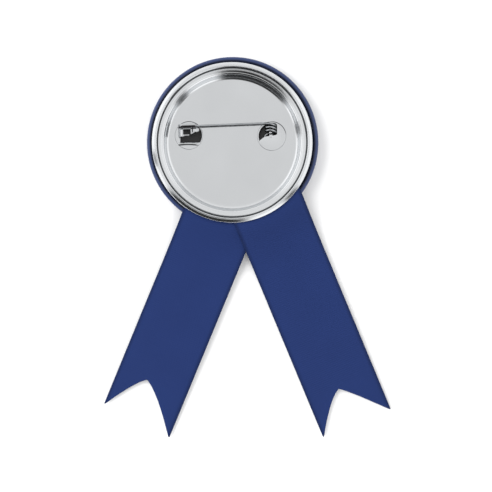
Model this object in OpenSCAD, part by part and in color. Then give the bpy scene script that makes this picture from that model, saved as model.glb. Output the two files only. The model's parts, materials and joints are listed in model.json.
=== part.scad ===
// Ribbon pin: a round button badge lying on its face, its back and pin upwards, with two ribbon tails.
// Millimetres. +Z up, +Y towards the top of the badge, +X to the right as its back is seen.

/* [Badge] */
// Outer diameter over the wrapped edge
badge_d = 59; // [56:0.5:62]
// Radius of the sphere that the face is a cap of
face_r = 190; // [150:5:260]
// Rounding between the face and the side
edge_r = 2.6; // [2.2:0.1:3]
// Rounding where the wrapped edge turns in behind the badge
wrap_r = 1.3; // [1.1:0.1:1.5]
// Thickness of the shell with its paper and film
shell_t = 0.45; // [0.35:0.05:0.5]

/* [Back plate] */
// Thickness of the back plate's sheet
plate_t = 0.3; // [0.28:0.01:0.32]
// Height of the flat panel's upper face
panel_z = 4.6; // [4.5:0.05:4.7]
// Radius where the flat panel ends
panel_r = 21.66; // [21.4:0.02:21.8]
// Height of the shoulder round the recess
shoulder_z = 7.55; // [7.5:0.05:7.65]

/* [Pin] */
// Diameter of the spring wire
wire_d = 0.9; // [0.8:0.02:0.92]
// Height of the pin's stem above the panel
stem_lift = 1.1; // [1.08:0.01:1.15]
// Turn of the stem from level, seen from behind
pin_turn = 2.3; // [2:0.1:2.6]
// Mean radius of the coil
coil_r = 1.62; // [1.6:0.01:1.64]
// Distance between the coil's turns
coil_pitch = 1.06; // [1.04:0.01:1.08]
// Slope at which the stem slides out from under the catch
escape_slope = 25; // [22:1:26]

/* [Ribbons] */
// Width of the ribbon
ribbon_w = 25; // [24.6:0.1:25.2]
// Thickness of the hanging ribbon
ribbon_t = 1; // [0.8:0.05:1.1]
// Thickness where the ribbon is crimped
crimp_t = 0.42; // [0.38:0.01:0.44]
// Gap between the pressed layers
layer_gap = 0.1; // [0.08:0.01:0.1]

/* [Hidden] */
$fn = 96;
film = "#41507c";
tin = "#c9cccf";
steel = "#8f9499";
navy = "#2e3f73";

// Face and side of the shell: the small arcs touch the face's sphere from inside
side_r = badge_d / 2;
edge_c = side_r - edge_r;
side_z = face_r - sqrt(pow(face_r - edge_r, 2) - edge_c * edge_c);
face_angle = asin(edge_c / (face_r - edge_r));
wrap_c = side_r - wrap_r;
wrap_z = side_z + wrap_r;
skirt_r = 25.4;
skirt_drop = 0.12;

// Back plate, to the middle of its sheet
panel_mid = panel_z - plate_t / 2;
rim_low = wrap_z + 2 * crimp_t + 3 * layer_gap;
rim_z = rim_low + 0.22;
shoulder_mid = shoulder_z - plate_t / 2;
// The plate's bends from the panel outwards
BEND_R = 0; // radius of the bend's centre
BEND_Z = 1; // height of the bend's centre
BEND_RADIUS = 2; // the bend's own radius
BEND_FROM = 3; // its first angle
BEND_TO = 4; // its last angle
BEND_HOLLOW = 5; // 1 where it is hollow seen from behind, -1 where it is round
BEND_STEPS = 6; // how many flats it is drawn with
bends = [
  [panel_r, panel_mid + 1.35, 1.35, -90, -18, 1, 7],
  [24.283, shoulder_mid - 1.168, 1, 162, 108, -1, 5],
  [25.345, shoulder_mid - 4.436, 4.436, 108, 92, -1, 4],
  [25.2, shoulder_mid - 0.25, 0.25, 92, 10, -1, 4],
  [25.7, shoulder_mid - 0.55, 0.25, -170, -10, 1, 4],
  [26.2, rim_z + 0.538, 0.25, 170, 76, -1, 4],
  [25.303, rim_z - 3.06, 3.958, 76, 58, -1, 4],
  [27.215, rim_z, 0.35, 58, -15, -1, 4]
];

// Seats pressed round the two holes, and the holes in them
left_seat = [-15.06, 2.49];
right_seat = [13.41, 2.29];
left_seat_r = 4.8;
right_seat_r = 4.95;
seat_line = 0.16;
seat_line_deep = 0.08;
hole_r = 4.6;

// Pin: its own frame has its middle at the coil's lower end and runs along the stem
coil_end = [13.1, 4];
stem_z = panel_z + stem_lift;
coil_z = stem_z - coil_r;
stem_y = 2.62;
wire_r = wire_d / 2;
stem_from = -23.4;
stem_to = -2.9;
tip_x = -31;
// The coil: half turns that lean to and fro, so that their ends meet. The lower ones are a touch thinner.
coil_turns = 2.5;
lower_thinner = 0.01;
half_lean = atan(coil_pitch / 4 / coil_r);
half_r = sqrt(coil_r * coil_r + pow(coil_pitch / 4, 2));
// Level bends lead from the coil into the stem, and into the leg under the panel. They are a little
// thinner than the stretches before and after them, which they run into.
bend_thinner = 0.05;
bend_overlap = 0.1;
stem_bend_r = -stem_to / sin(half_lean);
coil_top_y = stem_y - stem_bend_r * (1 - cos(half_lean));
coil_low_y = coil_top_y - coil_pitch * coil_turns;
leg_bend_r = 3;
leg_turn = 50;
leg_run = 3.7;

// Catch, in the section square to the stem and measured from the stem's middle
catch_from = -31.7;
catch_to = -24.5;
catch_t = 0.34;
catch_mid = 0.755;
flap_slope = 9;
flap_run = 3.2;
// Its bends in the columns of the plate's: round the stem, crease and start of the flap
catch_bends = [
  [0, 0, catch_mid, 0, 65, -1, 5],
  [0.397, 1.089, 0.4, 245, 210, 1, 2],
  [-0.857, 1.462, 0.5, 30, 90 - flap_slope, -1, 4]
];
// Its outline and its window seen from behind, along the stem and across it
catch_edge = [
  [-31.7, 1], [-31.7, -3.1], [-31.4, -3.45], [-30.4, -3.55], [-29.7, -3.36], [-28.5, -3.31], [-27.1, -2.77],
  [-25.8, -2.05], [-25.3, -2.2], [-24.75, -1.9], [-24.5, -1.5], [-24.6, -1.1], [-25.1, -0.8], [-25.6, -0.5],
  [-25.6, 1]
];
window_low = [-30.1, -2.9];
window_high = [-27.6, -0.8];
window_r = 0.35;
tongue_w = 0.8;
tongue_t = 0.36;
tongue_end = 1.1;

// Ribbons
LEAN = 0; // turn of the ribbon's run from straight down, towards the right
LEFT_EDGE = 1; // where its left edge passes the middle of the badge
LAYER = 2; // how many layers lie under it in the crimp
FALL_FROM = 3; // distance along it where it starts to fall to the surface
FALL_TO = 4; // distance along it where it lies flat
left_row = [-22.41, -6.71, 0, 28, 46];
right_row = [22.58, -10.03, 1, 32.5, 54];
crimp_in = 26.75;
thin_to = 40;
thick_from = 48;
profile_step = 3;
// Swallow-tail ends: distance along the ribbon of each tip and of the notch, and the notch's place and curve
TIP_LEFT = 0;
TIP_RIGHT = 1;
NOTCH_AT = 2;
NOTCH_END = 3;
CURVE_LEFT = 4;
CURVE_RIGHT = 5;
left_end = [100.2, 102.55, 10.45, 86.85, 1.3, 1.3];
right_end = [105.9, 105.9, 11.3, 92.4, 1.4, 1.1];
notch_steps = 7;

// Where a point of a ribbon lies on the badge's own axes
function on_badge(row, u, v) = [
  (row[LEFT_EDGE] + u) * cos(row[LEAN]) + v * sin(row[LEAN]),
  (row[LEFT_EDGE] + u) * sin(row[LEAN]) - v * cos(row[LEAN])
];
x_low = on_badge(left_row, 0, left_end[TIP_LEFT])[0];
x_high = on_badge(right_row, ribbon_w, right_end[TIP_RIGHT])[0];
y_low = min(
  on_badge(left_row, ribbon_w, left_end[TIP_RIGHT])[1],
  on_badge(right_row, 0, right_end[TIP_LEFT])[1]
);
origin = [(x_low + x_high) / 2, (y_low + side_r) / 2, 0];

// Points of an arc round c
function arc(c, r, from, to, steps) = [
  for (i = [0:steps]) let (a = from + (to - from) * i / steps) [c[0] + r * cos(a), c[1] + r * sin(a)]
];

// One face of a bent sheet: side is 1 for the upper face and -1 for the lower one
function sheet_face(rows, t, side) = [
  for (b = rows) each arc(
    [b[BEND_R], b[BEND_Z]],
    b[BEND_RADIUS] - b[BEND_HOLLOW] * side * t / 2,
    b[BEND_FROM], b[BEND_TO], b[BEND_STEPS]
  )
];

function reversed(list) = [for (i = [len(list) - 1:-1:0]) list[i]];

// A face of the shell, in by the given amount from its outside
function shell_face(in) = concat(
  arc([0, face_r], face_r - in, -90, -90 + face_angle, 12),
  arc([edge_c, side_z], edge_r - in, -90 + face_angle, 0, 7),
  arc([wrap_c, side_z], wrap_r - in, 0, 90, 7),
  [[skirt_r, wrap_z - skirt_drop - in]]
);

module front_shell() {
  color(film) rotate_extrude() polygon(concat(shell_face(0), reversed(shell_face(shell_t))));
}

// Places its children in the pin's own frame
module in_pin_frame() {
  translate([coil_end[0], coil_end[1], coil_z]) rotate([0, 0, pin_turn]) children();
}

module pressed_plate() {
  rotate_extrude() polygon(concat(
    [[0, panel_mid + plate_t / 2]],
    sheet_face(bends, plate_t, 1),
    reversed(sheet_face(bends, plate_t, -1)),
    [[0, panel_mid - plate_t / 2]]
  ));
}

// The thin line pressed round a seat
module seat_groove(at, r) {
  translate([at[0], at[1], panel_z - seat_line_deep]) rotate_extrude()
    translate([r - seat_line, 0]) square([seat_line, seat_line_deep + 1]);
}

// Cuts through the panel
module through_panel() {
  translate([0, 0, panel_z - plate_t - 1]) linear_extrude(plate_t + 2) children();
}

left_hole_low = 0.1;
lip_r = 0.5;
left_hole_left = -17.9;
right_hole_right = 15.5;
module left_hole() {
  through_panel() intersection() {
    translate(left_seat) circle(hole_r);
    translate([left_hole_left, left_hole_low]) square([9, 8]);
    translate(coil_end) rotate(pin_turn) translate([-40, stem_y + catch_mid - 20.18]) square([40, 20]);
  }
}

// The room that the coil turns in, and the open left side of the seat
right_hole_outline = [
  [right_hole_right, 2.7], [right_hole_right, 7.35], [14.9, 7.62], [12.6, 7.62], [10.6, 7.2],
  [6, 6], [6, -1], [9.2, 0.7], [11.1, 2], [13, 2.3]
];
module right_hole() {
  through_panel() intersection() {
    polygon(right_hole_outline);
    union() {
      translate(right_seat) circle(hole_r);
      translate([11, 3]) square([5, 5]);
    }
  }
}

// One face of the hook's section: up from the panel, round the wire and out along the flap
function hook_face(side) = let (
  last = catch_bends[2],
  r = last[BEND_RADIUS] + side * catch_t / 2
) concat(
  [[catch_mid + side * catch_t / 2, -stem_lift - plate_t / 2]],
  sheet_face(catch_bends, catch_t, side),
  [[
    last[BEND_R] + r * sin(flap_slope) - flap_run * cos(flap_slope),
    last[BEND_Z] + r * cos(flap_slope) + flap_run * sin(flap_slope)
  ]]
);

function rounded_box(low, high, r) = concat(
  arc([high[0] - r, low[1] + r], r, -90, 0, 4),
  arc([high[0] - r, high[1] - r], r, 0, 90, 4),
  arc([low[0] + r, high[1] - r], r, 90, 180, 4),
  arc([low[0] + r, low[1] + r], r, 180, 270, 4)
);

module catch_hook() {
  in_pin_frame() intersection() {
    translate([catch_from, stem_y, coil_r]) rotate([90, 0, 90]) linear_extrude(catch_to - catch_from)
      polygon(concat(hook_face(1), reversed(hook_face(-1))));
    translate([0, stem_y, -2]) linear_extrude(9) difference() {
      polygon(catch_edge);
      polygon(rounded_box(window_low, window_high, window_r));
    }
  }
}

// The end wall that closes the hook past the tip of the pin
module catch_end() {
  wall = [
    [0.9, -stem_lift - plate_t / 2], [0.9, 0], [0.6, 0.6], [0.25, 0.8], [0.05, 1], [-0.4, 1.75],
    [-0.8, 2], [-2.6, 2.28], [-2.95, 2.1], [-3.1, -stem_lift - plate_t / 2]
  ];
  in_pin_frame() translate([catch_from, stem_y, coil_r]) rotate([90, 0, 90])
    linear_extrude(catch_t) polygon(wall);
}

// The strip left standing in the right hole: it dips into the coil's end and holds it
module coil_tongue() {
  strip = [
    [-2.4, panel_z - coil_z], [-1.1, panel_z - coil_z], [-0.5, tongue_t / 2], [tongue_end, tongue_t / 2],
    [tongue_end, -tongue_t / 2], [-0.7, -tongue_t / 2], [-1.3, panel_z - coil_z - plate_t],
    [-2.4, panel_z - coil_z - plate_t]
  ];
  in_pin_frame() translate([-tongue_w / 2, 0, 0]) rotate([90, 0, 90]) linear_extrude(tongue_w) polygon(strip);
}

// The rolled lip along the lower edge of the left hole
module hole_lip() {
  translate([-17.45, -0.35, panel_z - 0.1]) rotate([0, 90, 0]) cylinder(r = lip_r, h = 4.7, $fn = 32);
}

module back_plate() {
  color(tin) {
    difference() {
      pressed_plate();
      seat_groove(left_seat, left_seat_r);
      seat_groove(right_seat, right_seat_r);
      left_hole();
      right_hole();
    }
    catch_hook();
    catch_end();
    coil_tongue();
    hole_lip();
  }
}

// Part of a half turn of the coil, from its right end: over the top, or below where under is true
module half_turn(y, under, angle = 180) {
  translate([0, y, 0]) rotate([0, 0, under ? half_lean : -half_lean]) rotate([under ? -90 : 90, 0, 0])
    rotate_extrude(angle = angle) translate([half_r, 0]) circle(wire_r - (under ? lower_thinner : 0), $fn = 32);
}

module coil() {
  half_turn(coil_top_y, false, 90);
  for (k = [1:coil_turns]) half_turn(coil_top_y - coil_pitch * k, false);
  for (k = [0:coil_turns - 1]) half_turn(coil_top_y - coil_pitch * (k + 0.5), true);
  half_turn(coil_low_y, true, 90);
}

// A level bend to the left, from a point over or under the coil's middle, and what follows its far end
module level_bend(y, z, heading, r, turn) {
  early = bend_overlap / r * 180 / PI;
  translate([-r * sin(heading), y + r * cos(heading), z]) rotate([0, 0, heading - 90]) {
    rotate([0, 0, -early]) rotate_extrude(angle = turn + early)
      translate([r, 0]) circle(wire_r - bend_thinner, $fn = 32);
    rotate([0, 0, turn]) translate([r, 0, 0]) children();
  }
}

module leg() {
  level_bend(coil_low_y, -coil_r, 180 + half_lean, leg_bend_r, leg_turn)
    translate([0, -bend_overlap, 0]) rotate([-90, 0, 0])
      cylinder(r = wire_r, h = leg_run + bend_overlap, $fn = 32);
}

module pin_wire() {
  color(steel) in_pin_frame() {
    coil();
    leg();
    level_bend(coil_top_y, coil_r, 180 - half_lean, stem_bend_r, half_lean);
    translate([stem_from, stem_y, coil_r]) rotate([0, 90, 0])
      cylinder(r = wire_r, h = stem_to + bend_overlap - stem_from, $fn = 48);
    translate([tip_x, stem_y, coil_r]) rotate([0, 90, 0])
      cylinder(r1 = 0.12, r2 = wire_r, h = stem_from - tip_x, $fn = 48);
  }
}

// Share of the way from 0 at a to 1 at b, eased at both ends
function eased(x, a, b) = x <= a ? 0 : x >= b ? 1 : (1 - cos(180 * (x - a) / (b - a))) / 2;
function thickness(v) = crimp_t + (ribbon_t - crimp_t) * eased(v, thin_to, thick_from);
function crimped_low(row) = wrap_z + layer_gap + row[LAYER] * (crimp_t + layer_gap);
function low_face(row, v) = crimped_low(row) * (1 - eased(v, row[FALL_FROM], row[FALL_TO]));

// Outline of a ribbon with its swallow-tail end, from the badge's middle, u to the right and v along it
function notch_at(end, u) = let (
  left = u < end[NOTCH_AT],
  reach = left ? end[NOTCH_AT] : ribbon_w - end[NOTCH_AT],
  deep = (left ? end[TIP_LEFT] : end[TIP_RIGHT]) - end[NOTCH_END]
) end[NOTCH_END] + deep * pow(abs(u - end[NOTCH_AT]) / reach, left ? end[CURVE_LEFT] : end[CURVE_RIGHT]);
function notch_points(end) = concat(
  [for (i = [0:notch_steps - 1]) end[NOTCH_AT] * i / notch_steps],
  [for (i = [0:notch_steps]) end[NOTCH_AT] + (ribbon_w - end[NOTCH_AT]) * i / notch_steps]
);
function ribbon_outline(end) = concat(
  [[ribbon_w, 10], [0, 10]],
  [for (u = notch_points(end)) [u, -notch_at(end, u)]]
);

module ribbon(row, end) {
  last = max(end[TIP_LEFT], end[TIP_RIGHT]) + 1;
  stations = concat([18], [for (v = [row[FALL_FROM]:profile_step:row[FALL_TO] + profile_step]) v], [last]);
  side_view = concat(
    [for (v = stations) [-v, low_face(row, v)]],
    [for (v = reversed(stations)) [-v, low_face(row, v) + thickness(v)]]
  );
  difference() {
    rotate([0, 0, row[LEAN]]) translate([row[LEFT_EDGE], 0, 0]) intersection() {
      rotate([90, 0, 90]) linear_extrude(ribbon_w) polygon(side_view);
      translate([0, 0, -1]) linear_extrude(12) polygon(ribbon_outline(end));
    }
    translate([0, 0, -1]) cylinder(r = crimp_in, h = 12);
  }
}

module ribbon_left() {
  color(navy) ribbon(left_row, left_end);
}

module ribbon_right() {
  color(navy) ribbon(right_row, right_end);
}

module placed() {
  translate(-origin) children();
}

placed() front_shell();
placed() back_plate();
placed() pin_wire();
placed() ribbon_left();
placed() ribbon_right();
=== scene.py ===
"""A ribbon pin: a round button badge on its face, its pin upwards, with two grosgrain ribbon tails."""
import json
import math
from typing import NamedTuple

import bmesh
import bpy
import numpy as np
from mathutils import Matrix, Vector, geometry


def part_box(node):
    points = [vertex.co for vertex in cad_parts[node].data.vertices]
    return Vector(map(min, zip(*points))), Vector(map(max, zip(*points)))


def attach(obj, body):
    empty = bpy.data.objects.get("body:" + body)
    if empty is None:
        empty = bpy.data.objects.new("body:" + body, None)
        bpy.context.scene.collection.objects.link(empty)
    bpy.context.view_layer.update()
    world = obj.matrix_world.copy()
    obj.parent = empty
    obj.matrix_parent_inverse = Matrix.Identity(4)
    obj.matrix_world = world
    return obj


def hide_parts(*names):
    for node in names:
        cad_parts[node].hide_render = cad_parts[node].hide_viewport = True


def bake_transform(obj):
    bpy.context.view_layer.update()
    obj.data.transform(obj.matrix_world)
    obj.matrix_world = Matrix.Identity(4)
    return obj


bl_info = {
    "name": "Ribbon pin",
    "version": (1, 0, 0),
    "blender": (4, 5, 0),
    "location": "View3D > Sidebar > Ribbon pin",
    "description": "Builds a ribbon pin around its construction model",
    "category": "Object",
}

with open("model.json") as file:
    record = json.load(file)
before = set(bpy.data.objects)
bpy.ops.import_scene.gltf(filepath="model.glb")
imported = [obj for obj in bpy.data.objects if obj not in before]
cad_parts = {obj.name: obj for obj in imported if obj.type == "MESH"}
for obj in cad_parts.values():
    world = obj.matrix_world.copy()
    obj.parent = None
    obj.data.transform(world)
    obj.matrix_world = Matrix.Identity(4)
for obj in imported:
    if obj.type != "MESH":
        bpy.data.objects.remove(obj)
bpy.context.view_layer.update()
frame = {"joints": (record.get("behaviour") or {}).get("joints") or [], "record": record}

MM = 0.001
MERGE = 1e-7

# Places that the construction model gives
SHELL_LOW, SHELL_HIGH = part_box("front_shell")
BADGE_MIDDLE = np.array([(SHELL_LOW.x + SHELL_HIGH.x) / 2, (SHELL_LOW.y + SHELL_HIGH.y) / 2, 0])
SWING = next(j for j in frame["joints"] if j["name"] == "pin_swing")
STEM = next(m for m in frame["record"]["mounts"] if m["name"] == "pin_stem")
COIL_MIDDLE = np.array(SWING["pos_m"])
STEM_AXIS = -np.array(STEM["axis"])
STEM_Z = STEM["pos_m"][2]
WIRE_R = STEM["dims"]["r_mm"] * MM
COIL_R = STEM_Z - COIL_MIDDLE[2]
# In millimetres: how high the stem's middle lies above the panel
STEM_LIFT = 1.1
PANEL_Z = STEM_Z - STEM_LIFT * MM
# How far the stem runs to the side of the coil's held end, in millimetres
STEM_Y = 2.62


def linear(colour):
    """A hex sRGB colour as linear red, green, blue and alpha."""
    channels = [int(colour[i:i + 2], 16) / 255 for i in (1, 3, 5)]
    return [c / 12.92 if c <= 0.04045 else ((c + 0.055) / 1.055) ** 2.4 for c in channels] + [1]


class BadgeSizes(bpy.types.PropertyGroup):
    """Sizes of the film-wrapped disc"""
    diameter: bpy.props.FloatProperty(
        name="Diameter", description="Over the wrapped edge", unit="LENGTH",
        default=SHELL_HIGH.x - SHELL_LOW.x)
    face_r: bpy.props.FloatProperty(
        name="Face radius", description="Radius of the sphere that the face is a cap of",
        unit="LENGTH", default=190 * MM)
    edge_r: bpy.props.FloatProperty(
        name="Edge rounding", description="Between the face and the side", unit="LENGTH", default=2.6 * MM)
    wrap_r: bpy.props.FloatProperty(
        name="Wrap rounding", description="Where the edge turns in behind the badge",
        unit="LENGTH", default=1 * MM)
    dip_r: bpy.props.FloatProperty(
        name="Dip rounding", description="Of the hollow that the turned-in edge makes before the rim",
        unit="LENGTH", default=0.35 * MM)
    wall: bpy.props.FloatProperty(
        name="Wall", description="Tin, paper and film together", unit="LENGTH", default=0.45 * MM)
    skirt_r: bpy.props.FloatProperty(
        name="Skirt radius", description="Where the turned-in edge ends", unit="LENGTH", default=25.4 * MM)
    film: bpy.props.FloatVectorProperty(
        name="Film", description="Colour of the film", subtype="COLOR", default=linear("#253359")[:3])


class PlateSizes(bpy.types.PropertyGroup):
    """Sizes of the pressed back plate"""
    sheet: bpy.props.FloatProperty(
        name="Sheet", description="Thickness of the tinplate", unit="LENGTH", default=0.3 * MM)
    cut_edge: bpy.props.FloatProperty(
        name="Cut edge", description="Rounding of the sheared edges", unit="LENGTH", default=0.06 * MM)
    panel_r: bpy.props.FloatProperty(
        name="Panel radius", description="Where the flat panel ends", unit="LENGTH", default=21.66 * MM)
    seat_line: bpy.props.FloatProperty(
        name="Seat line", description="Half the width of the line pressed round each hole",
        unit="LENGTH", default=0.05 * MM)
    seat_depth: bpy.props.FloatProperty(
        name="Seat line depth", description="How deep the line is pressed", unit="LENGTH",
        default=0.12 * MM)
    hole_r: bpy.props.FloatProperty(
        name="Hole radius", description="Of the round side of both holes", unit="LENGTH",
        default=4.55 * MM)
    shift: bpy.props.FloatVectorProperty(
        name="Shift", description="How far the plate sits off the shell's middle", size=2,
        subtype="TRANSLATION", unit="LENGTH", default=(-0.15 * MM, -0.1 * MM))


class CatchSizes(bpy.types.PropertyGroup):
    """Sizes of the hook that catches the pin"""
    sheet: bpy.props.FloatProperty(
        name="Sheet", description="Thickness of the drawn-up sheet", unit="LENGTH", default=0.28 * MM)
    ear_lift: bpy.props.FloatProperty(
        name="Ear lift", description="How far the guiding ear is flared up", unit="LENGTH",
        default=0.3 * MM)
    dome: bpy.props.FloatProperty(
        name="Closed end", description="Length over which the far end bends down to the panel",
        unit="LENGTH", default=1.5 * MM)


class PinSizes(bpy.types.PropertyGroup):
    """Sizes of the spring wire"""
    pitch: bpy.props.FloatProperty(
        name="Coil pitch", description="Distance between the turns", unit="LENGTH", default=1.06 * MM)
    turns: bpy.props.FloatProperty(
        name="Turns", description="From over the coil's middle to under it", default=2.5)
    bow: bpy.props.FloatProperty(
        name="Coil bow", description="How far the turns bow back towards their right ends, twice as far as "
        "towards their left ends", unit="LENGTH", default=0.5 * MM)
    stem: bpy.props.FloatProperty(
        name="Stem", description="From the coil's middle to the point", unit="LENGTH", default=31 * MM)
    taper: bpy.props.FloatProperty(
        name="Taper", description="Length that is ground to the point", unit="LENGTH", default=7.6 * MM)
    point_r: bpy.props.FloatProperty(
        name="Point radius", description="Radius of the wire at its point", unit="LENGTH",
        default=0.12 * MM)
    leg_bend: bpy.props.FloatProperty(
        name="Leg bend", description="Radius of the bend below the panel", unit="LENGTH", default=3 * MM)
    leg: bpy.props.FloatProperty(
        name="Leg", description="Straight length of the leg", unit="LENGTH", default=3.7 * MM)


class RibbonSizes(bpy.types.PropertyGroup):
    """Sizes of the two ribbon tails"""
    width: bpy.props.FloatProperty(
        name="Width", description="Over both selvedges", unit="LENGTH", default=25 * MM)
    thickness: bpy.props.FloatProperty(
        name="Thickness", description="Of the woven band", unit="LENGTH", default=0.42 * MM)
    rib: bpy.props.FloatProperty(
        name="Rib spacing", description="From one cross rib to the next", unit="LENGTH",
        default=0.7 * MM)
    rib_depth: bpy.props.FloatProperty(
        name="Rib depth", description="How far the ribs stand out", unit="LENGTH", default=0.045 * MM)
    selvedge: bpy.props.FloatProperty(
        name="Selvedge", description="Width of the flat woven edge", unit="LENGTH", default=0.6 * MM)
    colour: bpy.props.FloatVectorProperty(
        name="Yarn", description="Colour of the yarn", subtype="COLOR", default=linear("#1D2D5B")[:3])


class StageSizes(bpy.types.PropertyGroup):
    """Camera, floor and light"""
    distance: bpy.props.FloatProperty(
        name="Camera distance", description="Above the ribbon pin", unit="LENGTH", default=0.475)
    view_width: bpy.props.FloatProperty(
        name="View width", description="Width that the picture takes in", unit="LENGTH",
        default=169.16 * MM)
    floor: bpy.props.FloatProperty(
        name="Floor", description="Side of the square floor", unit="LENGTH", default=4)
    key: bpy.props.FloatProperty(
        name="Key light", description="Power of the soft light from the left", unit="POWER", default=9.2)
    fill: bpy.props.FloatProperty(
        name="Fill light", description="Power of the soft light from beyond the tails", unit="POWER",
        default=4)


def arc(centre, radius, start, stop, steps):
    """Points of an arc, its angles in degrees."""
    angles = np.radians(np.linspace(start, stop, steps + 1))
    return [(centre[0] + radius * math.cos(a), centre[1] + radius * math.sin(a)) for a in angles]


class Move(NamedTuple):
    """A straight run and the bend that ends it, in millimetres and degrees, left turns positive"""
    run: float
    bend_r: float
    turn: float


def walk(start, heading, moves, step):
    """Points of a line that follows the moves, none further than step from the next."""
    points = [np.array(start, float)]
    for move in moves:
        bend = abs(math.radians(move.turn)) * move.bend_r
        for length, turn in ((move.run, 0), (bend, move.turn)):
            count = math.ceil(length / step)
            for _ in range(count):
                # A chord of the bend's true length points half a step further round
                half = math.radians(turn / count / 2)
                chord = length / count * (math.sin(half) / half if half else 1)
                middle = math.radians(heading) + half
                points.append(points[-1] + chord * np.array([math.cos(middle), math.sin(middle)]))
                heading += turn / count
    return np.array(points)


def eased(x, start, stop):
    """Share of the way from 0 at start to 1 at stop, eased at both ends."""
    share = np.clip((np.asarray(x, float) - start) / (stop - start), 0, 1)
    return (1 - np.cos(np.pi * share)) / 2


def grid_faces(rows, columns, closed=False):
    """Quads of a grid of points kept row by row; closed joins the last column to the first."""
    last = columns if closed else columns - 1
    return [
        (r * columns + c, r * columns + (c + 1) % columns,
         (r + 1) * columns + (c + 1) % columns, (r + 1) * columns + c)
        for r in range(rows - 1) for c in range(last)
    ]


def lathe(profile, segments):
    """Points and faces of a profile of radii and heights turned about the badge's axis."""
    angles = np.linspace(0, 2 * np.pi, segments, endpoint=False)
    points = [(r * math.cos(a), r * math.sin(a), z) for r, z in profile for a in angles]
    return np.array(points), grid_faces(len(profile), segments, closed=True)


def filled(loops, holes, spots=()):
    """Triangles between flat loops, left out inside the holes. Returns points and faces."""
    flat = []
    edges = []
    for loop in [*loops, *holes]:
        first = len(flat)
        flat.extend(Vector(p) for p in loop)
        count = len(loop)
        edges.extend((first + i, first + (i + 1) % count) for i in range(count))
    flat.extend(Vector(p) for p in spots)
    points, _, triangles, *_ = geometry.delaunay_2d_cdt(flat, edges, [], 0, 1e-8)
    points = np.array(points)
    triangles = np.array(triangles)
    middles = points[triangles].mean(1)
    keep = inside(middles, loops[0])
    for hole in holes:
        keep &= ~inside(middles, hole)
    return points, triangles[keep]


def inside(points, loop):
    """Which points lie inside a closed loop."""
    loop = np.array(loop)
    after = np.roll(loop, -1, axis=0)
    crossings = np.zeros(len(points), int)
    for (x0, y0), (x1, y1) in zip(loop, after):
        if y0 == y1:
            continue
        between = (points[:, 1] >= min(y0, y1)) & (points[:, 1] < max(y0, y1))
        at = x0 + (points[:, 1] - y0) / (y1 - y0) * (x1 - x0)
        crossings += between & (points[:, 0] < at)
    return crossings % 2 == 1


def add_sheet(out, points, faces, thickness, rounding, rim_steps=3):
    """Adds a sheet of that thickness to a bmesh, from its middle surface, its cut edges rounded.
    Each new vertex remembers the point that it comes from."""
    flat = bmesh.new()
    source = flat.verts.layers.int.new("source")
    made = [flat.verts.new(p) for p in points]
    for i, v in enumerate(made):
        v[source] = i
    for face in faces:
        flat.faces.new([made[i] for i in face])
    bmesh.ops.remove_doubles(flat, verts=flat.verts, dist=MERGE)
    bmesh.ops.recalc_face_normals(flat, faces=flat.faces)
    if sum(f.normal.z * f.calc_area() for f in flat.faces) < 0:
        bmesh.ops.reverse_faces(flat, faces=flat.faces)
    flat.normal_update()

    kept = out.verts.layers.int.get("source") or out.verts.layers.int.new("source")
    half = thickness / 2
    outward = {}
    rim = []
    for edge in flat.edges:
        if len(edge.link_faces) != 1:
            continue
        loop = edge.link_loops[0]
        a, b = loop.vert, loop.link_loop_next.vert
        away = (b.co - a.co).cross((a.normal + b.normal) / 2).normalized()
        rim.append((a, b))
        for v in (a, b):
            outward[v] = outward.get(v, Vector()) + away

    def added(v, offset):
        new = out.verts.new(v.co + offset)
        new[kept] = v[source]
        return new

    upper = {v: added(v, v.normal * half) for v in flat.verts}
    lower = {v: added(v, -v.normal * half) for v in flat.verts}
    quarter = [(half - rounding + rounding * math.cos(t), rounding * math.sin(t))
               for t in np.linspace(0, math.pi / 2, rim_steps + 1)[1:]]
    section = quarter + [(-up, out_by) for up, out_by in reversed(quarter)]
    if rounding == half:
        section.pop(rim_steps)
    rings = {}
    for v, away in outward.items():
        away = away.normalized()
        between = [added(v, v.normal * up + away * out_by) for up, out_by in section]
        rings[v] = [upper[v], *between, lower[v]]

    def face(corners):
        new = out.faces.new(corners)
        new.smooth = True

    for f in flat.faces:
        face([upper[v] for v in f.verts])
        face([lower[v] for v in reversed(f.verts)])
    for a, b in rim:
        for k in range(len(rings[a]) - 1):
            face([rings[b][k], rings[a][k], rings[a][k + 1], rings[b][k + 1]])
    flat.free()


def add_solid(out, points, faces, slots=None):
    """Adds a closed solid to a bmesh, its faces outwards, each with the material of its slot."""
    made = [out.verts.new(p) for p in points]
    new = []
    for i, face in enumerate(faces):
        added = out.faces.new([made[k] for k in face])
        added.smooth = True
        added.material_index = slots[i] if slots else 0
        new.append(added)
    bmesh.ops.remove_doubles(out, verts=made, dist=MERGE)
    bmesh.ops.recalc_face_normals(out, faces=[f for f in new if f.is_valid])


def piece_from(name, shape, materials):
    """A named object from a bmesh, with its materials."""
    mesh = bpy.data.meshes.new(name)
    shape.to_mesh(mesh)
    shape.free()
    for material in materials:
        mesh.materials.append(material)
    piece = bpy.data.objects.new(name, mesh)
    bpy.context.scene.collection.objects.link(piece)
    return piece


def vertex_values(piece, name, size):
    """A value of a piece's vertices, such as co or normal, as rows of an array."""
    values = np.zeros(len(piece.data.vertices) * size)
    piece.data.vertices.foreach_get(name, values)
    return values.reshape(-1, size)


def add_painted_shade(piece, amounts):
    """Keeps how much painted shade darkens each vertex, from 0 to 1, for the materials."""
    piece.data.attributes.new("painted_shade", "FLOAT", "POINT").data.foreach_set(
        "value", np.clip(amounts, 0, 1).astype(np.float32))


def line_at(x, middle, half_width, core=0.2):
    """1 over the core of a soft line, falling to 0 at its edges."""
    return eased(np.abs(np.asarray(x) - middle), half_width, core * half_width)


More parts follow.
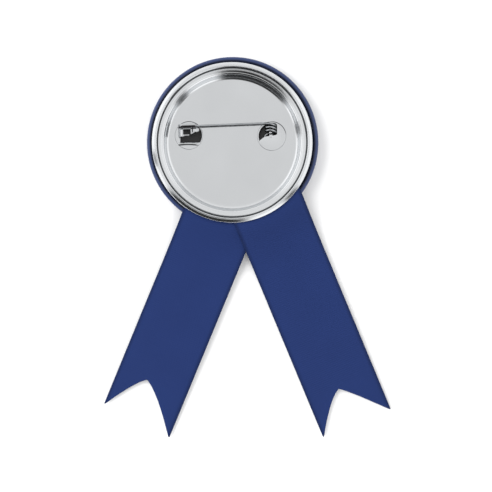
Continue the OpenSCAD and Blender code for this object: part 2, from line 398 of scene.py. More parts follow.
def on_badge(points):
    """Points on the badge's own axes, in the shared frame."""
    return np.asarray(points, float) + BADGE_MIDDLE


# Along the stem, across it and up
PIN_AXES = np.array([STEM_AXIS, [-STEM_AXIS[1], STEM_AXIS[0], 0], [0, 0, 1]])


def on_pin(points):
    """Points in the pin's own frame, along the stem from the coil's middle, in the shared frame."""
    return COIL_MIDDLE + np.asarray(points, float) @ PIN_AXES


def in_pin(points):
    """Points in the shared frame, in the pin's own frame."""
    return (points - COIL_MIDDLE) @ PIN_AXES.T


def node(tree, kind, inputs=None, **settings):
    """Adds a node: its settings are properties, its inputs are values or the sockets that feed them."""
    made = tree.nodes.new(kind)
    for name, value in settings.items():
        setattr(made, name, value)
    for name, value in (inputs or {}).items():
        if isinstance(value, bpy.types.NodeSocket):
            tree.links.new(value, made.inputs[name])
        else:
            made.inputs[name].default_value = value
    return made


def shade(colour, share):
    """A colour with its red, green and blue at that share, and its alpha."""
    return [share * c for c in colour] + [1]


def new_material(name):
    """A material with an empty node tree, and that tree."""
    material = bpy.data.materials.new(name)
    material.use_nodes = True
    material.node_tree.nodes.clear()
    return material, material.node_tree


def finish_material(material, shader):
    """Joins the shader to the material's output."""
    node(material.node_tree, "ShaderNodeOutputMaterial", {"Surface": shader.outputs["BSDF"]})
    return material


def darkened_by_painted_shade(tree, tone, dark):
    """A material's tone, darkened by painted shade where its painted_shade attribute says."""
    painted_shade = node(tree, "ShaderNodeAttribute", attribute_name="painted_shade")
    return node(tree, "ShaderNodeMix", {
        "Factor": painted_shade.outputs["Fac"], "A": tone, "B": linear(dark)}, data_type="RGBA").outputs["Result"]


def mottled(tree, vector, per_metre, low, high, detail=2):
    """Soft patches, so many to a metre, and a colour that wanders between two with them."""
    cloud = node(tree, "ShaderNodeTexNoise", {"Vector": vector, "Scale": per_metre, "Detail": detail})
    tone = node(tree, "ShaderNodeMix", {"Factor": cloud.outputs["Fac"], "A": low, "B": high},
                data_type="RGBA")
    return cloud.outputs["Fac"], tone.outputs["Result"]


def tinplate():
    """Bright tinplate, cold rolled: mirror-like but softened by a faint grain along the strip."""
    material, tree = new_material("tinplate")
    place = node(tree, "ShaderNodeTexCoord").outputs["Object"]
    # Rolling lines run up and down the badge, about 0.5 mm wide and 12 mm long
    stretched = node(tree, "ShaderNodeMapping", {"Vector": place, "Scale": (24, 1, 1)})
    grain = node(tree, "ShaderNodeTexNoise", {"Vector": stretched.outputs[0], "Scale": 80, "Detail": 3})
    lines = node(tree, "ShaderNodeBump", {
        "Height": grain.outputs["Fac"], "Strength": 0.12, "Distance": 0.02 * MM})
    cloud, tone = mottled(tree, place, 90, linear("#D3D5D7"), linear("#DADCDE"))
    gloss = node(tree, "ShaderNodeMapRange", {
        "Value": cloud, "From Min": 0.3, "From Max": 0.7, "To Min": 0.13, "To Max": 0.18})
    # Its tone is darkened towards a near-black grey by painted shade where the painted_shade attribute says
    shader = node(tree, "ShaderNodeBsdfPrincipled", {
        "Base Color": darkened_by_painted_shade(tree, tone, "#48494B"), "Metallic": 1,
        "Roughness": gloss.outputs["Result"], "Normal": lines.outputs["Normal"]})
    return finish_material(material, shader)


def spring_steel():
    """Nickel-plated spring steel, drawn to wire: darker than the tin, its gloss a little uneven."""
    material, tree = new_material("spring steel wire")
    place = node(tree, "ShaderNodeTexCoord").outputs["Object"]
    cloud, tone = mottled(tree, place, 900, linear("#A2A5A8"), linear("#B4B7BA"), detail=3)
    gloss = node(tree, "ShaderNodeMapRange", {
        "Value": cloud, "From Min": 0.3, "From Max": 0.7, "To Min": 0.18, "To Max": 0.26})
    # Its tone is darkened by painted shade between the coil's turns, where the painted_shade attribute says
    shader = node(tree, "ShaderNodeBsdfPrincipled", {
        "Base Color": darkened_by_painted_shade(tree, tone, "#222325"), "Metallic": 1,
        "Roughness": gloss.outputs["Result"]})
    return finish_material(material, shader)


def glossy_film(colour):
    """Polyester film over printed paper: a deep navy under a clear, slightly uneven gloss."""
    material, tree = new_material("glossy film")
    place = node(tree, "ShaderNodeTexCoord").outputs["Object"]
    ripple, fade = mottled(tree, place, 420, shade(colour, 1), shade(colour, 1.15))
    uneven = node(tree, "ShaderNodeBump", {"Height": ripple, "Strength": 0.15, "Distance": 0.03 * MM})
    # Its tone is darkened by painted shade in the crevice by the rim, where the painted_shade attribute
    # says
    shader = node(tree, "ShaderNodeBsdfPrincipled", {
        "Base Color": darkened_by_painted_shade(tree, fade, "#0A0C14"), "Roughness": 0.35,
        "Specular IOR Level": 0.3, "Coat Weight": 0.25, "Coat Roughness": 0.12,
        "Normal": uneven.outputs["Normal"]})
    return finish_material(material, shader)


def painted_shade_inside():
    """The shell's inner side, painted near-black as the shade seen through the holes, dull and a little
    patchy.
    """
    material, tree = new_material("painted shade inside")
    place = node(tree, "ShaderNodeTexCoord").outputs["Object"]
    _, tone = mottled(tree, place, 300, linear("#141415"), linear("#202123"), detail=3)
    shader = node(tree, "ShaderNodeBsdfPrincipled", {
        "Base Color": tone, "Roughness": 0.25, "Specular IOR Level": 0.5})
    return finish_material(material, shader)


def grosgrain(colour, width):
    """Polyester grosgrain: crosswise ribs with fine lengthwise yarns over them and a soft satin sheen."""
    material, tree = new_material("polyester grosgrain")
    weave = node(tree, "ShaderNodeAttribute", attribute_name="weave")
    axes = node(tree, "ShaderNodeSeparateXYZ", {"Vector": weave.outputs["Vector"]})
    # The real warp is about 0.15 mm apart; it is drawn at 0.5 mm, so that it shows
    drawn = 0.5 * MM
    turns = node(tree, "ShaderNodeMath", {0: axes.outputs["X"], 1: 2 * math.pi / drawn},
                 operation="MULTIPLY")
    yarn = node(tree, "ShaderNodeMath", {0: turns.outputs[0]}, operation="SINE")
    fuzz = node(tree, "ShaderNodeTexNoise", {
        "Vector": weave.outputs["Vector"], "Scale": 2500, "Detail": 2})
    height = node(tree, "ShaderNodeMath", {0: yarn.outputs[0], 1: fuzz.outputs["Fac"]}, operation="ADD")
    thread = node(tree, "ShaderNodeBump", {
        "Height": height.outputs[0], "Strength": 0.15, "Distance": 0.02 * MM})
    _, tone = mottled(tree, weave.outputs["Vector"], 60, shade(colour, 0.92), shade(colour, 1.08))
    other_edge = node(tree, "ShaderNodeMath", {0: width, 1: axes.outputs["X"]}, operation="SUBTRACT")
    nearest = node(tree, "ShaderNodeMath", {0: axes.outputs["X"], 1: other_edge.outputs[0]},
                   operation="MINIMUM")
    # The selvedges are painted darker: painted shade of the turned-down edges
    inward = node(tree, "ShaderNodeMapRange", {
        "Value": nearest.outputs[0], "From Min": 0, "From Max": 1.4 * MM}, interpolation_type="SMOOTHSTEP")
    edge_shade = node(tree, "ShaderNodeMix", {
        "Factor": inward.outputs["Result"], "A": shade(colour, 0.62), "B": tone}, data_type="RGBA")
    shader = node(tree, "ShaderNodeBsdfPrincipled", {
        "Base Color": edge_shade.outputs["Result"], "Roughness": 0.8, "Specular IOR Level": 0.15,
        "Sheen Weight": 0.03, "Sheen Roughness": 0.4, "Normal": thread.outputs["Normal"]})
    return finish_material(material, shader)


class BUILD_OT_film_shell(bpy.types.Operator):
    """Make the domed disc with its film-wrapped edge"""
    bl_idname = "ribbon_pin.film_shell"
    bl_label = "Film-wrapped shell"

    def execute(self, context):
        sizes = context.scene.badge_sizes
        side_r = sizes.diameter / 2
        edge_c = side_r - sizes.edge_r
        side_z = sizes.face_r - math.sqrt((sizes.face_r - sizes.edge_r) ** 2 - edge_c ** 2)
        face_angle = math.degrees(math.asin(edge_c / (sizes.face_r - sizes.edge_r)))
        wrap_z = SHELL_HIGH.z - sizes.wrap_r
        # Past the wrapped edge the sheet slopes down, turns up the rim's flank and runs in level
        slope = 30
        flank = 0.62 * MM
        level_r = 0.5 * MM
        step = 0.12 * MM

        def surface(inset):
            """The section's line at that depth in the wall, from the face's middle to the skirt."""
            turned_in = [
                Move(0, sizes.wrap_r - inset, 180 - slope),
                Move(0, sizes.dip_r + inset, -90),
                Move(flank, level_r - inset, slope),
            ]
            line = walk((side_r - inset, wrap_z), 90, turned_in, step)
            return [
                *arc((0, sizes.face_r), sizes.face_r - inset, -90, -90 + face_angle, 30),
                *arc((edge_c, side_z), sizes.edge_r - inset, -90 + face_angle, 0, 14),
                *line,
                (sizes.skirt_r, line[-1][1]),
            ]

        outside, inner = surface(0), surface(sizes.wall)
        segments = 192
        points, faces = lathe([*outside, *reversed(inner)], segments)
        slots = [int(i >= (len(outside) - 1) * segments) for i in range(len(faces))]
        shape = bmesh.new()
        add_solid(shape, on_badge(points), faces, slots)
        shell = piece_from("film_shell", shape, [glossy_film(sizes.film), painted_shade_inside()])
        # Painted shade darkens the film behind the badge, from the wrapped edge's crest in towards the rim
        places = (vertex_values(shell, "co", 3) - BADGE_MIDDLE) / MM
        outward = np.hypot(places[:, 0], places[:, 1])
        behind = places[:, 2] > 5
        add_painted_shade(shell, 0.75 * eased(outward, 28.85, 28.1) * behind)
        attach(shell, "badge")
        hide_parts("front_shell")
        return {"FINISHED"}


class Bend(NamedTuple):
    """A bend of the plate's section, in millimetres and degrees, to the middle of its sheet"""
    radius_at: float
    height_at: float
    radius: float
    start: float
    stop: float


def plate_bends(panel_r, sheet):
    """The plate's bends from the panel outwards: fillet, shoulder, groove and rim."""
    panel_mid = (PANEL_Z - sheet / 2) / MM
    shoulder = panel_mid + 2.95
    rim = SHELL_HIGH.z / MM + 1.36
    return [
        Bend(panel_r / MM, panel_mid + 1.35, 1.35, -90, -18),
        Bend(24.283, shoulder - 1.183, 1, 162, 108),
        Bend(26.193, shoulder - 7.061, 7.18, 108, 99),
        Bend(25.095, shoulder - 0.127, 0.16, 99, 20),
        Bend(25.57, shoulder - 0.55, 0.17, -160, -20),
        Bend(26.115, rim + 0.569, 0.16, 160, 76),
        Bend(25.275, rim - 2.8, 3.632, 76, 58),
        Bend(27.025, rim, 0.33, 58, -15),
    ]


class Seat(NamedTuple):
    """A round seat: its middle on the badge's axes, the radius of the line pressed round it and the angle
    about which painted shade darkens that line most"""
    middle: np.ndarray
    line_r: float
    dark_at: float


LEFT_SEAT = Seat(np.array([-15.06, 2.49]) * MM, 4.78 * MM, 85)
RIGHT_SEAT = Seat(np.array([13.41, 2.29]) * MM, 4.95 * MM, 50)
# Where the left hole is cut off, in millimetres: off the stem by the hook's foot, low by the lip, and left
HOOK_FOOT = 0.55
LEFT_HOLE_LOW = 0.05
LEFT_HOLE_LEFT = -18.06
# The groove round the rim, in millimetres from the plate's axis
GROOVE_R = 25.55
# The rolled lip in millimetres: its middle, half its length, its reach towards the hole, half its height
LIP_MIDDLE = (-15.2, -0.4, 4.52)
LIP_HALF = 3.9
LIP_UPPER = 0.62
LIP_RISE = 0.38
LIP_END_DROP = 0.08


def lip_lower(share):
    """How far the lip reaches away from the hole: least in its middle."""
    return 0.42 + 0.5 * share ** 2


def clipped(loop, point, away):
    """The part of a closed loop that lies on the side of a line that away points away from."""
    kept = []
    for a, b in zip(loop, np.roll(loop, -1, axis=0)):
        da, db = np.dot(a - point, away), np.dot(b - point, away)
        if da <= 0:
            kept.append(a)
        if da * db < 0:
            kept.append(a + (b - a) * da / (da - db))
    return np.array(kept)


def left_hole(hole_r):
    """The round hole below the catch, cut off along the hook's foot and along the rolled lip."""
    loop = np.array(arc(LEFT_SEAT.middle, hole_r, 0, 360, 96))[:-1]
    along = STEM_AXIS[:2]
    across = np.array([-along[1], along[0]])
    foot = COIL_MIDDLE[:2] - BADGE_MIDDLE[:2] + across * (STEM_Y + HOOK_FOOT) * MM
    loop = clipped(loop, foot, across)
    loop = clipped(loop, np.array([0, LEFT_HOLE_LOW * MM]), np.array([0, -1]))
    return clipped(loop, np.array([LEFT_HOLE_LEFT * MM, 0]), np.array([-1, 0]))


def right_hole(hole_r):
    """The hole that the coil turns in: round on its left, with the seat's sheet left along its right."""
    middle = RIGHT_SEAT.middle / MM
    radius = hole_r / MM
    outline = [
        (15.33, 3.1), (15.33, 5.85), (15.26, 6.25), (15, 6.55), (14.5, 6.75), (13.8, 6.86), (12.8, 6.9),
        *arc(middle, radius, 102, 203, 32),
        (9.5, 0.85), (10.4, 1.6), (11.1, 2.02), (12, 2.2), (13, 2.3), (14.2, 2.5), (15, 2.7),
        (15.27, 2.85),
    ]
    return np.array(outline) * MM


class BUILD_OT_tin_back(bpy.types.Operator):
    """Make the pressed tinplate back with its rim, seats, holes, catch, tongue and rolled lip"""
    bl_idname = "ribbon_pin.tin_back"
    bl_label = "Tinplate back"

    def execute(self, context):
        sizes = context.scene.plate_sizes
        shape = bmesh.new()
        self.add_plate(shape, sizes)
        self.add_catch(shape, sizes, context.scene.catch_sizes)
        self.add_tongue(shape, sizes)
        self.add_lip(shape)
        back = piece_from("tin_back", shape, [tinplate()])
        add_painted_shade(back, self.painted_shade(vertex_values(back, "co", 3), sizes))
        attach(back, "badge")
        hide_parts("back_plate")
        return {"FINISHED"}

    def add_plate(self, shape, sizes):
        """Adds the plate: turned bends round a flat panel with its holes and pressed lines."""
        segments = 240
        step = 0.15
        middle_z = PANEL_Z - sizes.sheet / 2
        profile = []
        for bend in plate_bends(sizes.panel_r, sizes.sheet):
            steps = max(5, math.ceil(math.radians(abs(bend.stop - bend.start)) * bend.radius / step))
            profile += arc((bend.radius_at, bend.height_at), bend.radius, bend.start, bend.stop, steps)
        ring, ring_faces = lathe(np.array(profile) * MM, segments)
        ring[:, :2] += sizes.shift
        # Rings on both walls of a pressed line, as shares of its half width
        spread = (-4, -2, -1.05, -0.95, -0.08, 0.08, 0.95, 1.05, 2, 4)
        holes = [left_hole(sizes.hole_r), right_hole(sizes.hole_r)]
        circles = [
            arc(seat.middle, seat.line_r + share * sizes.seat_line, 0, 360, 120)[:-1]
            for seat in (LEFT_SEAT, RIGHT_SEAT) for share in spread
        ]
        edge = arc(sizes.shift, sizes.panel_r, 0, 360, segments)[:-1]
        # A ring just inside the panel's edge keeps the fillet's shading off the flat
        support = arc(sizes.shift, sizes.panel_r - 0.25 * MM, 0, 360, segments)[:-1]
        flat, triangles = filled([edge, support, *circles], holes)
        panel = np.column_stack([flat, np.full(len(flat), middle_z)])
        points = np.vstack([ring, panel])
        faces = [*ring_faces, *(triangles + len(ring)).tolist()]
        add_sheet(shape, on_badge(points), faces, sizes.sheet, sizes.cut_edge)
        for v in shape.verts:
            if v.co.z < middle_z:
                continue
            for seat in (LEFT_SEAT, RIGHT_SEAT):
                across = v.co.xy - Vector(BADGE_MIDDLE[:2] + seat.middle)
                off = abs(across.length - seat.line_r) / sizes.seat_line
                v.co.z -= sizes.seat_depth * max(0, 1 - off)

    def painted_shade(self, places, sizes):
        """How much painted shade darkens the plate: in its groove and seat lines, on the hook and along the
        lip's foot.
        """
        flat = places[:, :2] - BADGE_MIDDLE[:2]
        from_axis = np.hypot(*(flat - np.array(sizes.shift)).T)
        # Painted shade in the groove round the rim
        groove = 0.5 * line_at(from_axis, GROOVE_R * MM, 0.4 * MM)
        seats = []
        for seat in (LEFT_SEAT, RIGHT_SEAT):
            off = flat - seat.middle
            around = (np.degrees(np.arctan2(off[:, 1], off[:, 0])) - seat.dark_at + 180) % 360 - 180
            # The painted shade in the line is broader and darker for some 55 degrees to both sides of its
            # dark place
            dark = line_at(around, 0, 55, 0.4)
            half_width = (0.09 + 0.1 * dark) * MM
            seats.append((0.35 + 0.6 * dark) * line_at(np.hypot(*off.T), seat.line_r, half_width))
        share, off = self.on_lip(flat)
        # Painted shade along the lip's foot, and the whole lip a little darker
        lip = np.maximum(0.2, eased(off, -0.3, -0.68)) * (np.abs(share) <= 1) * (np.abs(off) <= 1)
        # Kept off the panel, whose few large faces would spread it
        lip *= places[:, 2] > PANEL_Z + 0.01 * MM
        # On the hook: painted shade in the crease beside the stem and on the closed end, and the whole hook
        # a little darker
        along, across, up = (in_pin(places) / MM).T
        above_panel = up - (PANEL_Z - COIL_MIDDLE[2]) / MM
        on_hook = line_at(along, -28.3, 4, 0.99) * (np.abs(across - 1.7) < 3) * (above_panel > 0.25)
        crease = line_at(across, 2.32, 0.5)
        end = 0.55 * line_at(along, -31.75, 0.4)
        all_over = np.full(len(up), 0.22)
        hook = on_hook * np.max([crease, end, all_over], axis=0)
        return np.max([groove, *seats, lip, hook], axis=0)

    def add_catch(self, shape, plate, sizes):
        """Adds the hook: a blank with a window and a slit, bent over the stem and down at its far end."""
        level = -(STEM_Z - PANEL_Z) / MM - plate.sheet / 2 / MM
        # The hook's section, across the stem: foot, wall and crest, crease, rise and flap
        foot = 1.75
        moves = [
            Move(0.5, 0.5, -90),
            Move(1.95, 0.38, 125),
            Move(0.75, 0.2, -95),
            Move(0.75, 0.4, 51),
            Move(2.4, 0, 0),
        ]
        section = walk((foot, level), 180, moves, 0.06)
        run = np.concatenate([[0], np.cumsum(np.hypot(*np.diff(section, axis=0).T))])
        crest = int(np.argmax(section[:len(section) // 2, 1]))

        def reach(y):
            """Distance along the section of the point over y, past the crest."""
            return np.interp(-y, -section[crest:, 0], run[crest:])

        # The cut edges' rounding adds half the sheet's thickness all round
        far = -31.76
        outline = [
            (far, 0), (-25.85, 0), (-25.85, reach(-0.45)), (-25.4, reach(-0.7)), (-24.9, reach(-0.9)),
            (-24.66, reach(-1.2)), (-24.66, reach(-1.65)), (-25, reach(-2.02)), (-25.45, reach(-2.1)),
            (-25.85, reach(-1.9)), (-26.4, reach(-2.2)), (-27.15, reach(-2.63)), (-27.8, reach(-3)),
            (-28.5, reach(-3.17)), (-29.7, reach(-3.24)), (-30.4, reach(-3.44)), (-31.2, reach(-3.46)),
            (far, reach(-3.2)),
        ]
        window = rounded_box(-30.14, -27.3, reach(-0.92), reach(-3.04), 0.4)
        slit = rounded_box(-27.12, -26.54, reach(-0.46), reach(-2.3), 0.25)
        # Points a step apart fill the blank, clear of its cut edges by a margin
        step = 0.13
        margin = 0.07
        spots = np.array([
            (x, y) for x in np.arange(far + step, -24.6, step)
            for y in np.arange(step, run[-1], step)
        ])
        rims = [densified(loop, 0.12) for loop in (outline, window, slit)]
        near = np.min([
            np.min(np.hypot(*(spots[:, None] - rim[None]).transpose(2, 0, 1)), axis=1) for rim in rims
        ], axis=0)
        blank, *cut_outs = (inside(spots, rim) for rim in rims)
        keep = blank & ~cut_outs[0] & ~cut_outs[1] & (near > margin)
        flat, triangles = filled([rims[0]], rims[1:], spots[keep])
        across = np.interp(flat[:, 1], run, section[:, 0])
        height = np.interp(flat[:, 1], run, section[:, 1])
        # The far end bends down to the panel, all but upright at its edge
        dome = sizes.dome / MM
        closed = np.clip((far + dome - flat[:, 0]) / dome, 0, 1)
        height = level + (height - level) * np.sqrt(1 - 0.998 * closed ** 2)
        # The ear is flared up from the stem's side of the flap outwards, towards its near end
        flap = np.clip((0.2 - across) / 1.2, 0, 1)
        height += sizes.ear_lift / MM * flap * eased(flat[:, 0], -26.6, -24.6)
        points = np.column_stack([flat[:, 0], across + STEM_Y, height + COIL_R / MM]) * MM
        add_sheet(shape, on_pin(points), triangles.tolist(), sizes.sheet, sizes.sheet / 2)

    def add_tongue(self, shape, sizes):
        """Adds the narrow strip that dips from the hole's edge into the coil's end and holds it."""
        sheet = 0.34 * MM
        half_width = 0.4
        start = -2.2
        level = (PANEL_Z - COIL_MIDDLE[2] - sizes.sheet / 2) / MM
        moves = [Move(0.7, 0.67, -30), Move(0.25, 0.67, 30), Move(1.5, 0, 0)]
        line = walk((start, level), 0, moves, 0.1)
        widths = np.linspace(-half_width, half_width, 7)
        points = [(x, y, z) for y, z in line for x in widths]
        add_sheet(shape, on_pin(np.array(points) * MM), grid_faces(len(line), len(widths)), sheet,
                  sheet / 2)

    def on_lip(self, flat):
        """Where points of the panel lie on the rolled lip, from -1 to 1 along it and across it."""
        share = (flat[:, 0] / MM - LIP_MIDDLE[0]) / LIP_HALF
        off = flat[:, 1] / MM - LIP_MIDDLE[1]
        return share, np.where(off > 0, off / LIP_UPPER, off / lip_lower(share))

    def add_lip(self, shape):
        """Adds the rolled lip along the lower edge of the left hole, broader and lower at its ends."""
        steps = 40
        sides = 24
        points = []
        for share in np.linspace(-1, 1, steps):
            fade = math.sqrt(max(0, 1 - abs(share) ** 6))
            for k in range(sides):
                turn = 2 * math.pi * k / sides
                across = math.cos(turn) * (LIP_UPPER if math.cos(turn) > 0 else lip_lower(share))
                points.append((
                    LIP_MIDDLE[0] + LIP_HALF * share,
                    LIP_MIDDLE[1] + across * fade,
                    LIP_MIDDLE[2] + LIP_RISE * fade * math.sin(turn) - LIP_END_DROP * share ** 2,
                ))
        add_solid(shape, on_badge(np.array(points) * MM), grid_faces(steps, sides, closed=True))


def rounded_box(left, right, low, high, radius):
    """A closed loop round a box with rounded corners."""
    return [
        *arc((right - radius, low + radius), radius, -90, 0, 4),
        *arc((right - radius, high - radius), radius, 0, 90, 4),
        *arc((left + radius, high - radius), radius, 90, 180, 4),
        *arc((left + radius, low + radius), radius, 180, 270, 4),
    ]


def densified(loop, step):
    """The loop with points added so that none of its sides is longer than step."""
    loop = np.array(loop, float)
    dense = []
    for a, b in zip(loop, np.roll(loop, -1, axis=0)):
        count = max(1, math.ceil(np.hypot(*(b - a)) / step))
        dense.extend(a + (b - a) * i / count for i in range(count))
    return np.array(dense)


def new_tree(name, takes, gives):
    """A geometry node tree with those inputs and a geometry as its output, and its input node."""
    tree = bpy.data.node_groups.new(name, "GeometryNodeTree")
    for socket, kind in takes.items():
        tree.interface.new_socket(socket, in_out="INPUT", socket_type="NodeSocket" + kind)
    tree.interface.new_socket(gives, in_out="OUTPUT", socket_type="NodeSocketGeometry")
    return tree, node(tree, "NodeGroupInput")


def finish_tree(tree, given, geometry):
    """Ends a geometry node tree: the geometry is made real, in the material that the tree was given."""
    real = node(tree, "GeometryNodeRealizeInstances", {"Geometry": geometry})
    dressed = node(tree, "GeometryNodeSetMaterial", {
        "Geometry": real.outputs["Geometry"], "Material": given.outputs["Material"]})
    node(tree, "NodeGroupOutput", {0: dressed.outputs["Geometry"]})
    return tree


def wire_tree():
    """Geometry nodes that sweep a round wire along a line of edges, as thick as its points say."""
    tree, given = new_tree(
        "wire along a line", {"Line": "Geometry", "Sides": "Int", "Material": "Material"}, "Wire")
    thick = node(tree, "GeometryNodeInputNamedAttribute", {"Name": "thick"}, data_type="FLOAT")
    line = node(tree, "GeometryNodeMeshToCurve", {"Mesh": given.outputs["Line"]})
    ring = node(tree, "GeometryNodeCurvePrimitiveCircle", {
        "Resolution": given.outputs["Sides"], "Radius": 1})
    swept = node(tree, "GeometryNodeCurveToMesh", {
        "Curve": line.outputs["Curve"], "Profile Curve": ring.outputs["Curve"],
        "Scale": thick.outputs["Attribute"], "Fill Caps": True})
    return finish_tree(tree, given, swept.outputs["Mesh"])


def grown(piece, tree, **values):
    """Runs a geometry node tree on an object and leaves the result as its plain mesh."""
    modifier = piece.modifiers.new(tree.name, "NODES")
    modifier.node_group = tree
    sockets = {s.name: s.identifier for s in tree.interface.items_tree if s.in_out == "INPUT"}
    for name, value in values.items():
        modifier[sockets[name]] = value
    evaluated = piece.evaluated_get(bpy.context.evaluated_depsgraph_get())
    mesh = bpy.data.meshes.new_from_object(evaluated)
    piece.modifiers.remove(modifier)
    old, piece.data = piece.data, mesh
    mesh.name = piece.name
    bpy.data.meshes.remove(old)
    return piece


class BUILD_OT_spring_pin(bpy.types.Operator):
    """Make the pin: one wire with a point, a stem, a coil and a short leg"""
    bl_idname = "ribbon_pin.spring_pin"
    bl_label = "Spring pin"

    def execute(self, context):
        sizes = context.scene.pin_sizes
        points, radii = self.route(sizes)
        mesh = bpy.data.meshes.new("spring_pin")
        edges = [(i, i + 1) for i in range(len(points) - 1)]
        mesh.from_pydata([tuple(p) for p in on_pin(points)], edges, [])
        mesh.attributes.new("thick", "FLOAT", "POINT").data.foreach_set("value", radii)
        pin = bpy.data.objects.new("spring_pin", mesh)
        context.scene.collection.objects.link(pin)
        grown(pin, wire_tree(), Sides=28, Material=spring_steel())
        pin.data.shade_smooth()
        pin.data.set_sharp_from_angle(angle=math.radians(50))
        # Painted shade between the turns, where the wire faces the coil's ends
        along = in_pin(vertex_values(pin, "co", 3))[:, 0]
        sideways = np.abs(vertex_values(pin, "normal", 3) @ PIN_AXES[1])
        add_painted_shade(pin, eased(sideways, 0.2, 0.75) * eased(along, -2.6 * MM, -1.4 * MM))
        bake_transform(pin)
        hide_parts("pin_wire")
        return {"FINISHED"}

    def route(self, sizes):
        """The wire's line in the pin's own frame and its radius at each point."""
        stem_y = STEM_Y * MM
        lean = math.atan(sizes.pitch / 4 / COIL_R)
        bend_from = 2.9 * MM
        bend_r = bend_from / math.sin(lean)
        coil_y = stem_y - bend_r * (1 - math.cos(lean))
        line = []
        radii = []
        for share in np.linspace(0, 1, 12):
            line.append((-sizes.stem + share * sizes.taper, stem_y, COIL_R))
            radii.append(sizes.point_r + (WIRE_R - sizes.point_r) * share)
        # The very tip is rounded off
        radii[0] = 0.02 * MM
        for x in np.linspace(-sizes.stem + sizes.taper, -bend_from, 24)[1:]:
            line.append((x, stem_y, COIL_R))
        for angle in np.linspace(0, lean, 10)[1:]:
            line.append((-bend_from + bend_r * math.sin(angle), stem_y - bend_r * (1 - math.cos(angle)),
                         COIL_R))
        steps_per_turn = 56
        steps = round(sizes.turns * steps_per_turn)
        for k in range(1, steps + 1):
            turn = 2 * math.pi * sizes.turns * k / steps
            bow = sizes.bow * math.sin(turn) ** 2 * (1 if math.sin(turn) > 0 else 0.5)
            line.append((COIL_R * math.sin(turn), coil_y - sizes.pitch * turn / (2 * math.pi) - bow,
                         COIL_R * math.cos(turn)))
        # The leg bends away below the panel
        x, y, z = line[-1]
        heading = math.pi + lean
        turn = math.radians(50)
        bend_steps = 12
        for k in range(1, bend_steps + 1):
            angle = heading + turn * k / bend_steps
            line.append((x + sizes.leg_bend * (math.sin(angle) - math.sin(heading)),
                         y - sizes.leg_bend * (math.cos(angle) - math.cos(heading)), z))
        x, y, z = line[-1]
        heading += turn
        for share in (0.5, 0.97, 1):
            reach = sizes.leg * share
            line.append((x + reach * math.cos(heading), y + reach * math.sin(heading), z))
        radii += [WIRE_R] * (len(line) - len(radii))
        # Its cut end is rounded off
        radii[-1] = 0.75 * WIRE_R
        return np.array(line), radii


class Tail(NamedTuple):
    """How a ribbon tail runs, in millimetres and degrees on the badge's axes: its turn from straight down,
    where its left edge passes the badge's middle, how many layers lie under it in the crimp, where and how
    fast it falls, and its swallow-tail end, with how much each side of the notch curves"""
    name: str
    node: str
    lean: float
    left_edge: float
    layer: int
    fall_from: float
    fall_run: float
    tip_left: float
    tip_right: float
    notch_at: float
    notch_end: float
    curve_left: float
    curve_right: float


TAILS = [
    Tail("ribbon_tail_left", "ribbon_left", lean=-22.41, left_edge=-6.67, layer=0, fall_from=28.2,
         fall_run=3.9, tip_left=100.2, tip_right=102.55, notch_at=10.45, notch_end=86.85, curve_left=1.3,
         curve_right=1.3),
    Tail("ribbon_tail_right", "ribbon_right", lean=22.58, left_edge=-9.98, layer=1, fall_from=28.8,
         fall_run=4.6, tip_left=105.9, tip_right=105.9, notch_at=11.3, notch_end=92.4, curve_left=1.4,
         curve_right=1.1),
]
# Rows of vertices in each rib
RIB_SAMPLES = 6
# In millimetres: the radius at which the crimped ends lie, the gap over the shell, a layer's height
CRIMP_IN = 26.8
CRIMP_GAP = 0.1
LAYER_STEP = 0.52
# How high the tails hang, how much lower their tips do, and how far along them that begins
HANG = 2
TIP_DROP = 0.9
TIP_DROP_FROM = 60
# How far the selvedges turn down, over how much of the width
EDGE_DROP = 0.2
EDGE_DROP_WIDTH = 1.5


def rib_tree():
    """Geometry nodes that raise rounded cross ribs on a band, flat towards its selvedges."""
    sizes = dict.fromkeys(("Width", "Spacing", "Depth", "Selvedge"), "Float")
    tree, given = new_tree("cross ribs", {"Band": "Geometry", **sizes, "Material": "Material"}, "Ribbed")

    weave = node(tree, "GeometryNodeInputNamedAttribute", {"Name": "weave"}, data_type="FLOAT_VECTOR")
    place = node(tree, "ShaderNodeSeparateXYZ", {"Vector": weave.outputs["Attribute"]})
    ribs = node(tree, "ShaderNodeMath", {0: place.outputs["Y"], 1: given.outputs["Spacing"]},
                operation="DIVIDE")
    half_turns = node(tree, "ShaderNodeMath", {0: ribs.outputs[0], 1: math.pi}, operation="MULTIPLY")
    wave = node(tree, "ShaderNodeMath", {0: half_turns.outputs[0]}, operation="SINE")
    rounded = node(tree, "ShaderNodeMath", {0: wave.outputs[0]}, operation="ABSOLUTE")
    other_edge = node(tree, "ShaderNodeMath", {0: given.outputs["Width"], 1: place.outputs["X"]},
                      operation="SUBTRACT")
    nearest = node(tree, "ShaderNodeMath", {0: place.outputs["X"], 1: other_edge.outputs[0]},
                   operation="MINIMUM")
    away = node(tree, "ShaderNodeMath", {0: nearest.outputs[0], 1: given.outputs["Selvedge"]},
                operation="DIVIDE", use_clamp=True)
    # The mean of a rounded rib, so that the ribs don't make the band thicker
    mean = 0.64
    centred = node(tree, "ShaderNodeMath", {0: rounded.outputs[0], 1: mean}, operation="SUBTRACT")
    raised_by = node(tree, "ShaderNodeMath", {0: centred.outputs[0], 1: away.outputs[0]},
                     operation="MULTIPLY")
    height = node(tree, "ShaderNodeMath", {0: raised_by.outputs[0], 1: given.outputs["Depth"]},
                  operation="MULTIPLY")
    normal = node(tree, "GeometryNodeInputNormal")
    offset = node(tree, "ShaderNodeVectorMath", {0: normal.outputs[0], "Scale": height.outputs[0]},
                  operation="SCALE")
    raised = node(tree, "GeometryNodeSetPosition", {
        "Geometry": given.outputs["Band"], "Offset": offset.outputs["Vector"]})
    return finish_tree(tree, given, raised.outputs["Geometry"])


